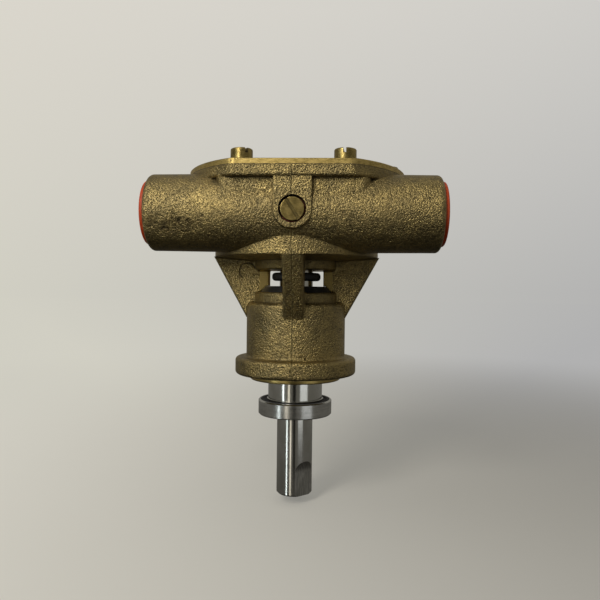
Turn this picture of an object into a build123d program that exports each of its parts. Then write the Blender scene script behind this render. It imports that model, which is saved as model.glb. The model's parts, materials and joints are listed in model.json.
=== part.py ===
"""Spigot-mounted flexible-impeller seawater pump, every piece a separate solid.

Frame: +Z runs along the shaft towards the end cover, -Y is the cam-screw side and +X is the right port.
The origin is where the shaft axis meets the lower, mounting face of the flange. Millimetres throughout.
"""
import os
from math import cos, radians, sin, sqrt, tan

from build123d import *

# ---- shaft and running gear
SHAFT_R = 8.5
NECK_R = 7.95
SHAFT_DRIVE_LENGTH = 57.4
SHAFT_SHOULDER_R = 10.2
SHAFT_SHOULDER_LENGTH = 3.5
SHAFT_END_CHAMFER = 0.8
DRIVE_FLAT_LENGTH = 11.5
DRIVE_FLAT_DEPTH = 1.5
DRIVE_FLAT_TURN = 40.0
DRIVE_CUTTER_R = 9.0
SEAT_GAP = 0.02
RUN_GAP = 0.08

# ---- ball bearings, both 17 x 35
BEARING_R = 17.5
BEARING_PITCH_R = 13.0
BALL_R = 2.35
BALL_COUNT = 9
RACE_GAP = 0.05
RING_SHOULDER = 2.4
INNER_BEARING_WIDTH = 10.0
OUTER_BEARING_WIDTH = 7.0
BEARING_SEAL_THICKNESS = 0.45
BEARING_SEAL_RECESS = 0.2
CAGE_THICKNESS = 1.7
RING_CHAMFER = 0.5

# ---- bearing housing, flange and spigot
HOUSING_R = 23.5
HOUSING_TOP = 33.8
HOUSING_ROUND = 2.4
FLANGE_R = 28.7
FLANGE_THICKNESS = 8.1
FLANGE_ROUND = 1.7
FLANGE_BLEND = 1.5
SPIGOT_R = 21.6
SPIGOT_LENGTH = 2.5
SPIGOT_CHAMFER = 0.4
SPIGOT_LIP = 0.7
CIRCLIP_THICKNESS = 1.5
CIRCLIP_WIDTH = 2.6
CIRCLIP_DEPTH = 1.0
CIRCLIP_GAP_TURN = 24.0
CIRCLIP_LUG_R = 1.15
CIRCLIP_TURN = -50.0
GREASE_CAVITY_R = 15.5

# ---- neck between the bearing housing and the chamber
LOWER_COLLAR_R = 19.7
LOWER_COLLAR_TOP = 38.7
UPPER_COLLAR_R = 19.4
UPPER_COLLAR_BASE = 49.1
COLLAR_ROUND = 1.2
WINDOW_R = 13.7
RIB_THICKNESS = 9.0
RIB_FOOT = 26.8
RIB_PROUD = 0.6
RIB_ROUND = 1.3
RIB_BLEND = 1.2
OIL_SEAL_R = 17.5
OIL_SEAL_DEPTH = 6.8
OIL_SEAL_NOSE = 2.8
OIL_SEAL_NOSE_R = 14.9
OIL_SEAL_NOSE_GAP = 0.12
SLINGER_R = 11.6
SLINGER_THICKNESS = 3.9
SLINGER_BASE = 44.1
SLINGER_ROUND = 1.6

# ---- impeller chamber
CHAMBER_R = 32.5
CHAMBER_WALL = 6.1
CHAMBER_BASE = 55.0
CHAMBER_BASE_ROUND = 0.3
CHAMBER_DROP = 1.6
CHAMBER_FLOOR = 59.3
CHAMBER_TOP = 91.0
TOP_FLANGE_THICKNESS = 4.7
TOP_FLANGE_ROUND = 1.2
COVER_PROUD = 11.8
COVER_FLAT_PROUD = 4.8
COVER_CORNER_R = 6.0
COVER_THICKNESS = 2.3
COVER_CHAMFER = 0.3
GASKET_THICKNESS = 0.25
WEAR_PLATE_THICKNESS = 0.8
WEAR_PIN_R = 1.2
WEAR_PIN_PLACE = 27.0
WEAR_PIN_DEPTH = 2.6
WEAR_PIN_PROUD = 0.4

# ---- cover screws
SCREW_CIRCLE_PROUD = 4.6
SCREW_COUNT = 6
SCREW_R = 2.4
SCREW_LENGTH = 9.0
SCREW_HEAD_R = 4.65
SCREW_HEAD_HEIGHT = 4.75
SCREW_HEAD_ROUND = 0.7
SCREW_SLOT_WIDTH = 1.3
SCREW_SLOT_DEPTH = 2.1
SCREW_SLOT_TURNS = [84.0, 92.0, 20.0, 131.0, 75.0, 124.0]
SCREW_HOLE_GAP = 0.1
COVER_HOLE_GAP = 0.3
SCREW_HOLE_SPARE = 0.7
SCREW_BOSS_WALL = 2.7
SCREW_BOSS_HEIGHT = 7.5

# ---- ports
PORT_INSET = 7.5
PORT_HEIGHT = 73.1
PORT_END = 63.0
PORT_TUBE_R = 16.7
PORT_DRAFT = 0.5
PORT_ROUND = 2.0
PORT_PASSAGE_R = 11.3
PORT_THREAD_R = 12.06
PORT_THREAD_LENGTH = 17.0
PORT_LEAD_R = 13.35
PORT_LEAD_DEPTH = 4.0
PORT_WALL_HALF = 13.0
BLOCK_PROUD = 15.6
BLOCK_ROUND = 5.0

# ---- cam, its pad and its screw
PAD_R = 8.0
PAD_PROUD = 0.5
PAD_ROUND = 0.35
PAD_BLEND = 0.5
CAM_SCREW_R = 2.95
CAM_SCREW_HEAD_R = 5.0
CAM_SCREW_HEAD_HEIGHT = 2.8
CAM_SCREW_SUNK = 0.2
CAM_SCREW_SLOT_WIDTH = 1.5
CAM_SCREW_SLOT_DEPTH = 1.4
CAM_SCREW_SLOT_TURN = 57.0
CAM_SCREW_HOLE_GAP = 0.2
CAM_SCREW_RECESS_GAP = 0.75
CAM_WASHER_THICKNESS = 0.8
CAM_THICKNESS = 4.1
CAM_HALF_WIDTH = 12.8
CAM_CURVE_GAIN = 0.6
CAM_THREAD_DEPTH = 3.0
CAM_GAP = 0.15

# ---- impeller
IMPELLER_HUB_R = 14.0
IMPELLER_INSERT_R = 11.0
IMPELLER_BLADES = 8
IMPELLER_BLADE_THICKNESS = 3.4
IMPELLER_TIP_R = 2.3
IMPELLER_TIP_GAP = 0.3
IMPELLER_SIDE_GAP = 0.15
KEY_WIDTH = 4.0
KEY_HEIGHT = 4.0
KEY_LENGTH = 18.0
KEY_DEPTH = 2.3
SHAFT_TOP_GAP = 1.2

# ---- face seal in the chamber floor
SEAL_POCKET_R = 14.5
SEAL_POCKET_LIP = 2.1
SEAL_LIP_GAP = 1.25
SEAL_CUP_WALL = 1.9
SEAL_CUP_BASE = 1.0
SEAL_CUP_HEIGHT = 4.0
SEAL_SEAT_BORE_R = 9.4
SEAL_SEAT_HEIGHT = 3.6
SEAL_FACE_R = 11.8
SEAL_FACE_BORE_R = 9.6
SEAL_FACE_HEIGHT = 1.7
SEAL_FACE_GAP = 0.03
SEAL_BELLOWS_HEIGHT = 1.3
SEAL_SPRING_WIDTH = 2.4
SEAL_CASE_WALL = 0.6
SEAL_CASE_SKIRT = 2.6

# ---- port plugs
PLUG_FLANGE_R = 14.0
PLUG_FLANGE_THICKNESS = 1.8
PLUG_FLANGE_ROUND = 0.8
PLUG_STEM_GAP = 0.1
PLUG_STEM_LENGTH = 3.6
PLUG_WALL = 1.6

# ---- spacer between the two bearings, and the shaft circlip
SPACER_R = 12.9
SPACER_GAP_LENGTH = 12.0
SPACER_RELIEF_LENGTH = 0.8
SHIM_R = 13.4
SHIM_THICKNESS = 0.4
SHAFT_CLIP_THICKNESS = 1.2
SHAFT_CLIP_WIDTH = 2.4
SHAFT_CLIP_DEPTH = 0.6
SHAFT_CLIP_TURN = 160.0
SHAFT_CLIP_GAP_TURN = 70.0

# ---- places worked out from the sizes above
CHAMBER_OUTER_R = CHAMBER_R + CHAMBER_WALL
COVER_R = CHAMBER_OUTER_R + COVER_PROUD
COVER_FLAT = CHAMBER_OUTER_R + COVER_FLAT_PROUD
SCREW_CIRCLE_R = CHAMBER_OUTER_R + SCREW_CIRCLE_PROUD
PORT_OFFSET = CHAMBER_R - PORT_INSET
BLOCK_FRONT = PORT_OFFSET + BLOCK_PROUD
TOP_FLANGE_BASE = CHAMBER_TOP - TOP_FLANGE_THICKNESS
COVER_BASE = CHAMBER_TOP + GASKET_THICKNESS
COVER_TOP = COVER_BASE + COVER_THICKNESS
CIRCLIP_BASE = -SPIGOT_LENGTH + SPIGOT_LIP
INNER_BEARING_BASE = CIRCLIP_BASE + CIRCLIP_THICKNESS + 2 * SEAT_GAP
INNER_BEARING_TOP = INNER_BEARING_BASE + INNER_BEARING_WIDTH
OUTER_BEARING_TOP = INNER_BEARING_BASE - SPACER_GAP_LENGTH
OUTER_BEARING_BASE = OUTER_BEARING_TOP - OUTER_BEARING_WIDTH
OIL_SEAL_BASE = LOWER_COLLAR_TOP - OIL_SEAL_DEPTH
SEAL_POCKET_BASE = UPPER_COLLAR_BASE + SEAL_POCKET_LIP
WEAR_PLATE_TOP = CHAMBER_FLOOR + WEAR_PLATE_THICKNESS
IMPELLER_BASE = WEAR_PLATE_TOP + IMPELLER_SIDE_GAP
IMPELLER_TOP = COVER_BASE - IMPELLER_SIDE_GAP
SHAFT_TOP = COVER_BASE - SHAFT_TOP_GAP
TUBE_MIDDLE_R = PORT_TUBE_R + PORT_END * tan(radians(PORT_DRAFT))
PAD_FACE = PORT_OFFSET + TUBE_MIDDLE_R + PAD_PROUD
CAM_WASHER_FACE = PAD_FACE - CAM_SCREW_SUNK - CAM_SCREW_HEAD_HEIGHT
CAM_RECESS_FLOOR = CAM_WASHER_FACE - CAM_WASHER_THICKNESS
CAM_FACE = CHAMBER_R - SEAT_GAP - CAM_THICKNESS
CAM_CURVE_R = CHAMBER_R + CAM_CURVE_GAIN
CAM_CURVE_Y = CAM_CURVE_R - CAM_FACE
SEAT_TOP = SEAL_POCKET_BASE + SEAL_CUP_BASE + SEAL_SEAT_HEIGHT
SEAL_FACE_TOP = SEAT_TOP + SEAL_FACE_GAP + SEAL_FACE_HEIGHT
BELLOWS_TOP = SEAL_FACE_TOP + SEAL_BELLOWS_HEIGHT
SEAL_CASE_R = SEAL_FACE_R + SEAT_GAP + SEAL_CASE_WALL
PORT_THREAD_END = PORT_END - PORT_LEAD_DEPTH
PORT_THREAD_START = PORT_THREAD_END - PORT_THREAD_LENGTH
LOWEST = (Align.CENTER, Align.CENTER, Align.MIN)


# ---- helpers
def post(radius, low, high):
    """A cylinder on the shaft axis between two heights."""
    return Pos(0, 0, low) * Cylinder(radius, high - low, align=LOWEST)


def ring(outer, inner, low, high):
    """A plain ring on the shaft axis."""
    return post(outer, low, high) - post(inner, low - 1, high + 1)


def turned(*outline):
    """A solid of revolution about the shaft axis from (radius, height) corners."""
    return revolve(make_face(Plane.XZ * Polyline(*outline, close=True)), Axis.Z)


def rim(solid, height):
    """The outermost circular edge of a solid at one height."""
    circles = solid.edges().filter_by(GeomType.CIRCLE)
    level = [edge for edge in circles if abs(edge.center().Z - height) < 1e-4]
    return max(level, key=lambda edge: edge.radius)


def rim_near(solid, height, radius):
    """The circular edges of a solid at one height with one radius."""
    circles = solid.edges().filter_by(GeomType.CIRCLE)
    level = [edge for edge in circles if abs(edge.center().Z - height) < SEAT_GAP]
    return [edge for edge in level if abs(edge.radius - radius) < SEAT_GAP]


def sideways(radius, near, far):
    """A cylinder on the right port's axis between two distances from the shaft plane."""
    place = Pos(near, -PORT_OFFSET, PORT_HEIGHT) * Rot(0, 90, 0)
    return place * Cylinder(radius, far - near, align=LOWEST)


def frontward(radius, near, far):
    """A cylinder on the cam screw's axis between two distances in front of the shaft."""
    place = Pos(0, -near, PORT_HEIGHT) * Rot(90, 0, 0)
    return place * Cylinder(radius, far - near, align=LOWEST)


def screw_places():
    """The cover screws' places: two either side of the front, then round the circle."""
    step = 360 / SCREW_COUNT
    turns = [step * (number + 0.5) - 90 for number in range(SCREW_COUNT)]
    return [Pos(SCREW_CIRCLE_R * cos(radians(turn)), SCREW_CIRCLE_R * sin(radians(turn)), 0) for turn in turns]


def cover_outline():
    """The disc with one flat side that the cover, its gasket and the body's top flange share."""
    reach = COVER_R + COVER_FLAT
    outline = Circle(COVER_R) & Pos(0, reach / 2 - COVER_FLAT) * Rectangle(2 * COVER_R, reach)
    return fillet(outline.vertices().group_by(Axis.Y)[0], COVER_CORNER_R)


# ---- the casting
def tube():
    """The right port tube: a drafted round boss with a rounded mouth."""
    place = Pos(0, -PORT_OFFSET, PORT_HEIGHT) * Rot(0, 90, 0)
    boss = place * Cone(TUBE_MIDDLE_R, PORT_TUBE_R, PORT_END, align=LOWEST)
    return fillet(boss.edges().group_by(Axis.X)[-1], PORT_ROUND)


def rib():
    """Two opposite gussets in the XZ plane, from the bearing housing up to the chamber floor."""
    foot = (HOUSING_R, RIB_FOOT)
    shoulder = (CHAMBER_OUTER_R + RIB_PROUD, CHAMBER_BASE + CHAMBER_BASE_ROUND)
    corners = [foot, shoulder, (-shoulder[0], shoulder[1]), (-foot[0], foot[1])]
    face = make_face(Plane.XZ * Polyline(*corners, close=True))
    plate = extrude(face, RIB_THICKNESS / 2, both=True)
    slopes = [edge for edge in plate.edges() if abs((edge @ 0).Z - (edge @ 1).Z) > RIB_THICKNESS]
    return fillet(slopes, RIB_ROUND)


def chamber_and_tubes():
    """The chamber wall and the two port tubes that cross the front of it."""
    return post(CHAMBER_OUTER_R, CHAMBER_BASE, CHAMBER_TOP) + tube() + mirror(tube(), Plane.YZ)


def on_rib_side(edge):
    """Whether an edge runs in the side face of a gusset, where it meets the rest of the casting."""
    points = [edge @ share for share in (0, 0.25, 0.5, 0.75, 1)]
    heights = [point.Z for point in points]
    if min(heights) < RIB_FOOT - RIB_ROUND or max(heights) > CHAMBER_BASE + RIB_ROUND:
        return False
    along_x = all(abs(abs(point.Y) - RIB_THICKNESS / 2) < SEAT_GAP for point in points)
    along_y = all(abs(abs(point.X) - RIB_THICKNESS / 2) < SEAT_GAP for point in points)
    rise = abs((edge @ 0).Z - (edge @ 1).Z)
    return (along_x or along_y) and rise < (CHAMBER_BASE - RIB_FOOT) / 2


def on_pad_outline(edge):
    """Whether an edge follows the cam-screw pad's U-shaped outline, at its foot or around its face."""
    middle = edge @ 0.5
    from_axis = sqrt(middle.X**2 + (middle.Z - PORT_HEIGHT) ** 2)
    straight = middle.Z > PORT_HEIGHT and abs(abs(middle.X) - PAD_R) < SEAT_GAP
    curved = middle.Z <= PORT_HEIGHT and abs(from_axis - PAD_R) < SEAT_GAP
    return middle.Y < -CHAMBER_R and middle.Z < TOP_FLANGE_BASE and (straight or curved) and edge.length > PAD_R / 2


def body_blank():
    """The casting before it is bored, with its corners blended."""
    flange = post(FLANGE_R, 0, FLANGE_THICKNESS)
    flange = fillet(flange.edges().filter_by(GeomType.CIRCLE), FLANGE_ROUND)
    spigot = post(SPIGOT_R, -SPIGOT_LENGTH, FLANGE_THICKNESS / 2)
    spigot = chamfer(rim(spigot, -SPIGOT_LENGTH), SPIGOT_CHAMFER)
    housing = post(HOUSING_R, FLANGE_THICKNESS / 2, HOUSING_TOP)
    housing = fillet(rim(housing, HOUSING_TOP), HOUSING_ROUND)
    lower_collar = post(LOWER_COLLAR_R, HOUSING_TOP / 2, LOWER_COLLAR_TOP)
    lower_collar = fillet(rim(lower_collar, LOWER_COLLAR_TOP), COLLAR_ROUND)
    upper_collar = post(UPPER_COLLAR_R, UPPER_COLLAR_BASE, CHAMBER_FLOOR)
    upper_collar = fillet(rim(upper_collar, UPPER_COLLAR_BASE), COLLAR_ROUND)
    underside = turned(
        (0, CHAMBER_FLOOR),
        (0, CHAMBER_BASE - CHAMBER_DROP),
        (UPPER_COLLAR_R, CHAMBER_BASE - CHAMBER_DROP),
        (CHAMBER_OUTER_R - CHAMBER_BASE_ROUND, CHAMBER_BASE),
        (CHAMBER_OUTER_R - CHAMBER_BASE_ROUND, CHAMBER_FLOOR),
    )
    top_flange = Pos(0, 0, TOP_FLANGE_BASE) * extrude(cover_outline(), TOP_FLANGE_THICKNESS)
    top_flange = fillet(top_flange.edges().group_by(Axis.Z)[0], TOP_FLANGE_ROUND)
    body = flange + spigot + housing + lower_collar + upper_collar + underside
    body += rib() + Rot(0, 0, 90) * rib()
    body += chamber_and_tubes() + top_flange + front_block() + pad()
    boss_r = SCREW_R + SCREW_HOLE_GAP + SCREW_BOSS_WALL
    for place in screw_places()[1:-1]:
        body += place * post(boss_r, TOP_FLANGE_BASE - SCREW_BOSS_HEIGHT, CHAMBER_TOP)
    body = fillet(rim_near(body, FLANGE_THICKNESS, HOUSING_R), FLANGE_BLEND)
    body = fillet([edge for edge in body.edges() if on_rib_side(edge)], RIB_BLEND)
    outline = [edge for edge in body.edges() if on_pad_outline(edge)]
    body = fillet([edge for edge in outline if (edge @ 0.5).Y > SEAT_GAP - PAD_FACE], PAD_BLEND)
    outline = [edge for edge in body.edges() if on_pad_outline(edge)]
    return fillet([edge for edge in outline if (edge @ 0.5).Y <= SEAT_GAP - PAD_FACE], PAD_ROUND)


def front_block():
    """The squared-off pocket over the tubes, between the chamber wall and the cam screw's side."""
    depth = BLOCK_FRONT - PORT_OFFSET / 2
    height = TOP_FLANGE_BASE - PORT_HEIGHT + TOP_FLANGE_THICKNESS / 2
    place = Pos(0, -PORT_OFFSET / 2 - depth / 2, PORT_HEIGHT)
    block = place * Box(2 * CHAMBER_R, depth, height, align=LOWEST)
    return fillet(block.edges().filter_by(Axis.Z).group_by(Axis.Y)[0], BLOCK_ROUND)


def pad():
    """The U-shaped pad that the cam screw sits in."""
    depth = PAD_FACE - PORT_OFFSET
    height = TOP_FLANGE_BASE - PORT_HEIGHT + TOP_FLANGE_THICKNESS / 2
    upright = Pos(0, -PORT_OFFSET - depth / 2, PORT_HEIGHT) * Box(2 * PAD_R, depth, height, align=LOWEST)
    return frontward(PAD_R, PORT_OFFSET, PAD_FACE) + upright


def pump_body():
    """The bronze casting: mounting flange, bearing housing, ribbed neck, chamber and two ports."""
    return body_blank() - body_bores()


def body_bores():
    """Everything that is bored, tapped or cored out of the casting."""
    bores = post(CHAMBER_R, CHAMBER_FLOOR, CHAMBER_TOP + 1)
    bores += post(SEAL_POCKET_R, SEAL_POCKET_BASE, CHAMBER_FLOOR + 1)
    bores += post(NECK_R + SEAL_LIP_GAP, UPPER_COLLAR_BASE - 1, CHAMBER_FLOOR)
    bores += post(WINDOW_R, LOWER_COLLAR_TOP, UPPER_COLLAR_BASE)
    nose_base = LOWER_COLLAR_TOP + OIL_SEAL_NOSE_GAP
    nose_top = nose_base + OIL_SEAL_NOSE
    bores += turned(
        (0, OIL_SEAL_BASE),
        (OIL_SEAL_R, OIL_SEAL_BASE),
        (OIL_SEAL_R, nose_base),
        (OIL_SEAL_NOSE_R, nose_top),
        (0, nose_top),
    )
    bores += post(GREASE_CAVITY_R, INNER_BEARING_TOP - 1, OIL_SEAL_BASE + 1)
    bores += post(BEARING_R + SEAT_GAP, -SPIGOT_LENGTH - 1, INNER_BEARING_TOP)
    bores += post(BEARING_R + CIRCLIP_DEPTH, CIRCLIP_BASE, CIRCLIP_BASE + CIRCLIP_THICKNESS + SEAT_GAP)
    passage = sideways(PORT_PASSAGE_R, PORT_WALL_HALF, PORT_END + 1)
    passage += sideways(PORT_THREAD_R, PORT_THREAD_START, PORT_END + 1)
    passage += sideways(PORT_LEAD_R, PORT_THREAD_END, PORT_END + 1)
    bores += passage + mirror(passage, Plane.YZ)
    bores += frontward(CAM_SCREW_HEAD_R + CAM_SCREW_RECESS_GAP, CAM_RECESS_FLOOR, PAD_FACE + 1)
    bores += frontward(CAM_SCREW_R + CAM_SCREW_HOLE_GAP, CHAMBER_R - 2, PAD_FACE)
    hole_base = COVER_TOP - SCREW_LENGTH - SCREW_HOLE_SPARE
    for place in screw_places():
        bores += place * post(SCREW_R + SCREW_HOLE_GAP, hole_base, CHAMBER_TOP + 1)
    bores += Pos(0, WEAR_PIN_PLACE, 0) * post(WEAR_PIN_R + SEAT_GAP, CHAMBER_FLOOR - WEAR_PIN_DEPTH, CHAMBER_FLOOR + 1)
    return bores


# ---- the cover and what holds it
def cover_holes(low, high):
    """Clearance holes for the six cover screws."""
    return [place * post(SCREW_R + COVER_HOLE_GAP, low - 1, high + 1) for place in screw_places()]


def end_cover():
    plate = Pos(0, 0, COVER_BASE) * extrude(cover_outline(), COVER_THICKNESS)
    plate = chamfer(plate.edges().group_by(Axis.Z)[-1], COVER_CHAMFER)
    return plate - cover_holes(COVER_BASE, COVER_TOP)


def cover_gasket():
    sheet = Pos(0, 0, CHAMBER_TOP) * extrude(cover_outline(), GASKET_THICKNESS)
    return sheet - post(CHAMBER_R, CHAMBER_TOP - 1, COVER_BASE + 1) - cover_holes(CHAMBER_TOP, COVER_BASE)


def cover_screw(place, slot_turn):
    head_top = COVER_TOP + SCREW_HEAD_HEIGHT
    head = post(SCREW_HEAD_R, COVER_TOP, head_top)
    head = fillet(rim(head, head_top), SCREW_HEAD_ROUND)
    slot = Rot(0, 0, slot_turn) * Box(3 * SCREW_HEAD_R, SCREW_SLOT_WIDTH, 2 * SCREW_SLOT_DEPTH)
    screw = head + post(SCREW_R, COVER_TOP - SCREW_LENGTH, COVER_TOP) - Pos(0, 0, head_top) * slot
    return place * screw


# ---- cam, cam screw and wear plate
def cam():
    """The crescent that squeezes the impeller, held against the chamber wall between the ports."""
    crescent = post(CHAMBER_R - SEAT_GAP, WEAR_PLATE_TOP + CAM_GAP, COVER_BASE - CAM_GAP)
    crescent -= Pos(0, CAM_CURVE_Y, 0) * post(CAM_CURVE_R, CHAMBER_FLOOR, COVER_TOP)
    keep = Pos(0, -CHAMBER_R, PORT_HEIGHT) * Box(2 * CAM_HALF_WIDTH, CHAMBER_R, 2 * CHAMBER_R)
    return crescent & keep - frontward(CAM_SCREW_R + SEAT_GAP, CHAMBER_R - CAM_THREAD_DEPTH - SEAT_GAP, CHAMBER_R + 9)


def cam_screw():
    head_face = CAM_WASHER_FACE + CAM_SCREW_HEAD_HEIGHT
    screw = frontward(CAM_SCREW_HEAD_R, CAM_WASHER_FACE, head_face)
    screw = fillet(screw.edges().group_by(Axis.Y)[0], SCREW_HEAD_ROUND / 2)
    screw += frontward(CAM_SCREW_R, CHAMBER_R - CAM_THREAD_DEPTH, CAM_WASHER_FACE)
    slot = Box(3 * CAM_SCREW_HEAD_R, 2 * CAM_SCREW_SLOT_DEPTH, CAM_SCREW_SLOT_WIDTH)
    return screw - Pos(0, -head_face, PORT_HEIGHT) * Rot(0, CAM_SCREW_SLOT_TURN, 0) * slot


def cam_screw_washer():
    washer = frontward(CAM_SCREW_HEAD_R + CAM_SCREW_RECESS_GAP / 2, CAM_RECESS_FLOOR, CAM_WASHER_FACE)
    return washer - frontward(CAM_SCREW_R + CAM_SCREW_HOLE_GAP / 2, CAM_RECESS_FLOOR - 1, CAM_WASHER_FACE + 1)


def wear_plate():
    plate = ring(CHAMBER_R - SEAT_GAP, SEAL_CASE_R + SEAL_CASE_WALL, CHAMBER_FLOOR, WEAR_PLATE_TOP)
    return plate - Pos(0, WEAR_PIN_PLACE, 0) * post(WEAR_PIN_R + SEAT_GAP, CHAMBER_FLOOR - 1, WEAR_PLATE_TOP + 1)


def wear_plate_pin():
    return Pos(0, WEAR_PIN_PLACE, 0) * post(
        WEAR_PIN_R, CHAMBER_FLOOR - WEAR_PIN_DEPTH + SEAT_GAP, WEAR_PLATE_TOP - WEAR_PIN_PROUD
    )


# ---- impeller
def blade(turn):
    """One vane: straight where the chamber is round, bent back where the cam presses on it."""
    from_front = min(turn % 360, 360 - turn % 360)
    pressed = from_front < 90 / (IMPELLER_BLADES / 4)
    full = CHAMBER_R - IMPELLER_TIP_GAP - IMPELLER_TIP_R
    root = IMPELLER_INSERT_R + (IMPELLER_HUB_R - IMPELLER_INSERT_R) / 2
    reach = full
    trail = 0.0
    if pressed:
        reach = CAM_FACE - IMPELLER_TIP_GAP - IMPELLER_TIP_R
        trail = sqrt((full - root) ** 2 - (reach - root) ** 2)
        reach = sqrt(reach**2 - trail**2)
    middle = (root + (reach - root) * 0.6, trail * 0.3)
    route = Line((root, 0), (reach, 0))
    if pressed:
        route = ThreePointArc((root, 0), middle, (reach, trail))
    web = trace(route, IMPELLER_BLADE_THICKNESS)
    tip = Pos(reach, trail) * Circle(IMPELLER_TIP_R)
    height = IMPELLER_TOP - IMPELLER_BASE
    return Pos(0, 0, IMPELLER_BASE) * Rot(0, 0, turn - 90) * extrude(web + tip, height)


def impeller():
    """The rubber impeller, with its vanes as the chamber and cam hold them."""
    wheel = post(IMPELLER_HUB_R, IMPELLER_BASE, IMPELLER_TOP)
    step = 360 / IMPELLER_BLADES
    for number in range(IMPELLER_BLADES):
        wheel += blade(step * (number + 0.5))
    return wheel - post(IMPELLER_INSERT_R, IMPELLER_BASE - 1, IMPELLER_TOP + 1)


def key_shape(grow):
    """The key, or with a gap around it the slot that it sits in, on the back of the shaft."""
    low = (IMPELLER_BASE + IMPELLER_TOP - KEY_LENGTH) / 2
    place = Pos(0, NECK_R - KEY_DEPTH + KEY_HEIGHT / 2, low + KEY_LENGTH / 2)
    return place * Box(KEY_WIDTH + 2 * grow, KEY_HEIGHT + 2 * grow, KEY_LENGTH + 2 * grow)


def impeller_insert():
    insert = ring(IMPELLER_INSERT_R, NECK_R + SEAT_GAP, IMPELLER_BASE, IMPELLER_TOP)
    top_half = NECK_R - KEY_DEPTH + KEY_HEIGHT + SEAT_GAP
    slot = Pos(0, top_half / 2, IMPELLER_BASE - 1) * Box(
        KEY_WIDTH + 2 * SEAT_GAP, top_half, IMPELLER_TOP - IMPELLER_BASE + 2, align=LOWEST
    )
    return insert - slot


def impeller_key():
    return key_shape(0)


# ---- shaft
def shaft():
    shoulder_top = INNER_BEARING_TOP + SHAFT_SHOULDER_LENGTH
    neck_start = OIL_SEAL_BASE - SHAFT_SHOULDER_LENGTH
    body = post(SHAFT_R, -SHAFT_DRIVE_LENGTH, neck_start)
    body = chamfer(rim(body, -SHAFT_DRIVE_LENGTH), SHAFT_END_CHAMFER)
    body += post(SHAFT_SHOULDER_R, INNER_BEARING_TOP, shoulder_top)
    neck = post(NECK_R, neck_start - 1, SHAFT_TOP)
    body += chamfer(rim(neck, SHAFT_TOP), SHAFT_END_CHAMFER)
    body -= key_shape(SEAT_GAP)
    clip_top = OUTER_BEARING_BASE - SEAT_GAP
    body -= ring(SHAFT_R + 1, SHAFT_R - SHAFT_CLIP_DEPTH, clip_top - SHAFT_CLIP_THICKNESS - SEAT_GAP, clip_top)
    flat_place = -SHAFT_R + DRIVE_FLAT_DEPTH
    cutter = Pos(0, flat_place, -SHAFT_DRIVE_LENGTH - 1) * Box(
        2 * SHAFT_R, SHAFT_R, DRIVE_FLAT_LENGTH + 1, align=(Align.CENTER, Align.MAX, Align.MIN)
    )
    run_out = Pos(0, flat_place - DRIVE_CUTTER_R, -SHAFT_DRIVE_LENGTH + DRIVE_FLAT_LENGTH) * Rot(0, 90, 0)
    cutter += run_out * Cylinder(DRIVE_CUTTER_R, 2 * SHAFT_R)
    return body - Rot(0, 0, DRIVE_FLAT_TURN) * cutter


# ---- ball bearings
def raceway(middle):
    """The tube-shaped space that the balls roll in."""
    return Pos(0, 0, middle) * Torus(BEARING_PITCH_R, BALL_R + RACE_GAP)


def outer_ring(base, width):
    bore = BEARING_R - RING_SHOULDER
    solid = ring(BEARING_R, bore, base, base + width)
    solid = chamfer([rim(solid, base), rim(solid, base + width)], RING_CHAMFER)
    return solid - raceway(base + width / 2)


def inner_ring(base, width):
    solid = ring(SHAFT_R + RING_SHOULDER, SHAFT_R + SEAT_GAP, base, base + width)
    return solid - raceway(base + width / 2)


def ball_places(base, width):
    step = 360 / BALL_COUNT
    return [Rot(0, 0, step * number) * Pos(BEARING_PITCH_R, 0, base + width / 2) for number in range(BALL_COUNT)]


def balls(base, width):
    return Compound(children=[place * Sphere(BALL_R) for place in ball_places(base, width)])


def cage(base, width):
    half = width / 2 - BEARING_SEAL_RECESS - BEARING_SEAL_THICKNESS - 3 * RACE_GAP
    middle = base + width / 2
    inner = BEARING_PITCH_R - CAGE_THICKNESS / 2
    solid = ring(inner + CAGE_THICKNESS, inner, middle - half, middle + half)
    pocket = Rot(0, 90, 0) * Cylinder(BALL_R + 2 * RACE_GAP, 3 * CAGE_THICKNESS)
    return solid - [place * pocket for place in ball_places(base, width)]


def bearing_seal(base, width, upper):
    """One of the two thin rubber or steel rings that close a bearing."""
    low = base + BEARING_SEAL_RECESS
    if upper:
        low = base + width - BEARING_SEAL_RECESS - BEARING_SEAL_THICKNESS
    outer = BEARING_R - RING_SHOULDER - SEAT_GAP
    inner = SHAFT_R + RING_SHOULDER + RUN_GAP
    return ring(outer, inner, low, low + BEARING_SEAL_THICKNESS)


# ---- seals, slinger, spacer and clips
def slinger():
    disc = ring(SLINGER_R, NECK_R + SEAT_GAP, SLINGER_BASE, SLINGER_BASE + SLINGER_THICKNESS)
    return fillet([rim(disc, SLINGER_BASE), rim(disc, SLINGER_BASE + SLINGER_THICKNESS)], SLINGER_ROUND)


def oil_seal():
    """The rubber shaft seal over the bearings, with a cone-shaped nose and a dust lip."""
    wall = OIL_SEAL_R - OIL_SEAL_NOSE_R
    lip = NECK_R + RUN_GAP
    nose_top = LOWER_COLLAR_TOP + OIL_SEAL_NOSE
    return turned(
        (OIL_SEAL_R - SEAT_GAP, OIL_SEAL_BASE),
        (OIL_SEAL_R - SEAT_GAP, LOWER_COLLAR_TOP),
        (OIL_SEAL_NOSE_R, nose_top),
        (OIL_SEAL_NOSE_R - wall, nose_top),
        (lip, nose_top - wall / 2),
        (lip, nose_top - wall),
        (OIL_SEAL_NOSE_R - wall, LOWER_COLLAR_TOP - wall / 2),
        (OIL_SEAL_NOSE_R - wall / 4, OIL_SEAL_BASE),
    )


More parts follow.
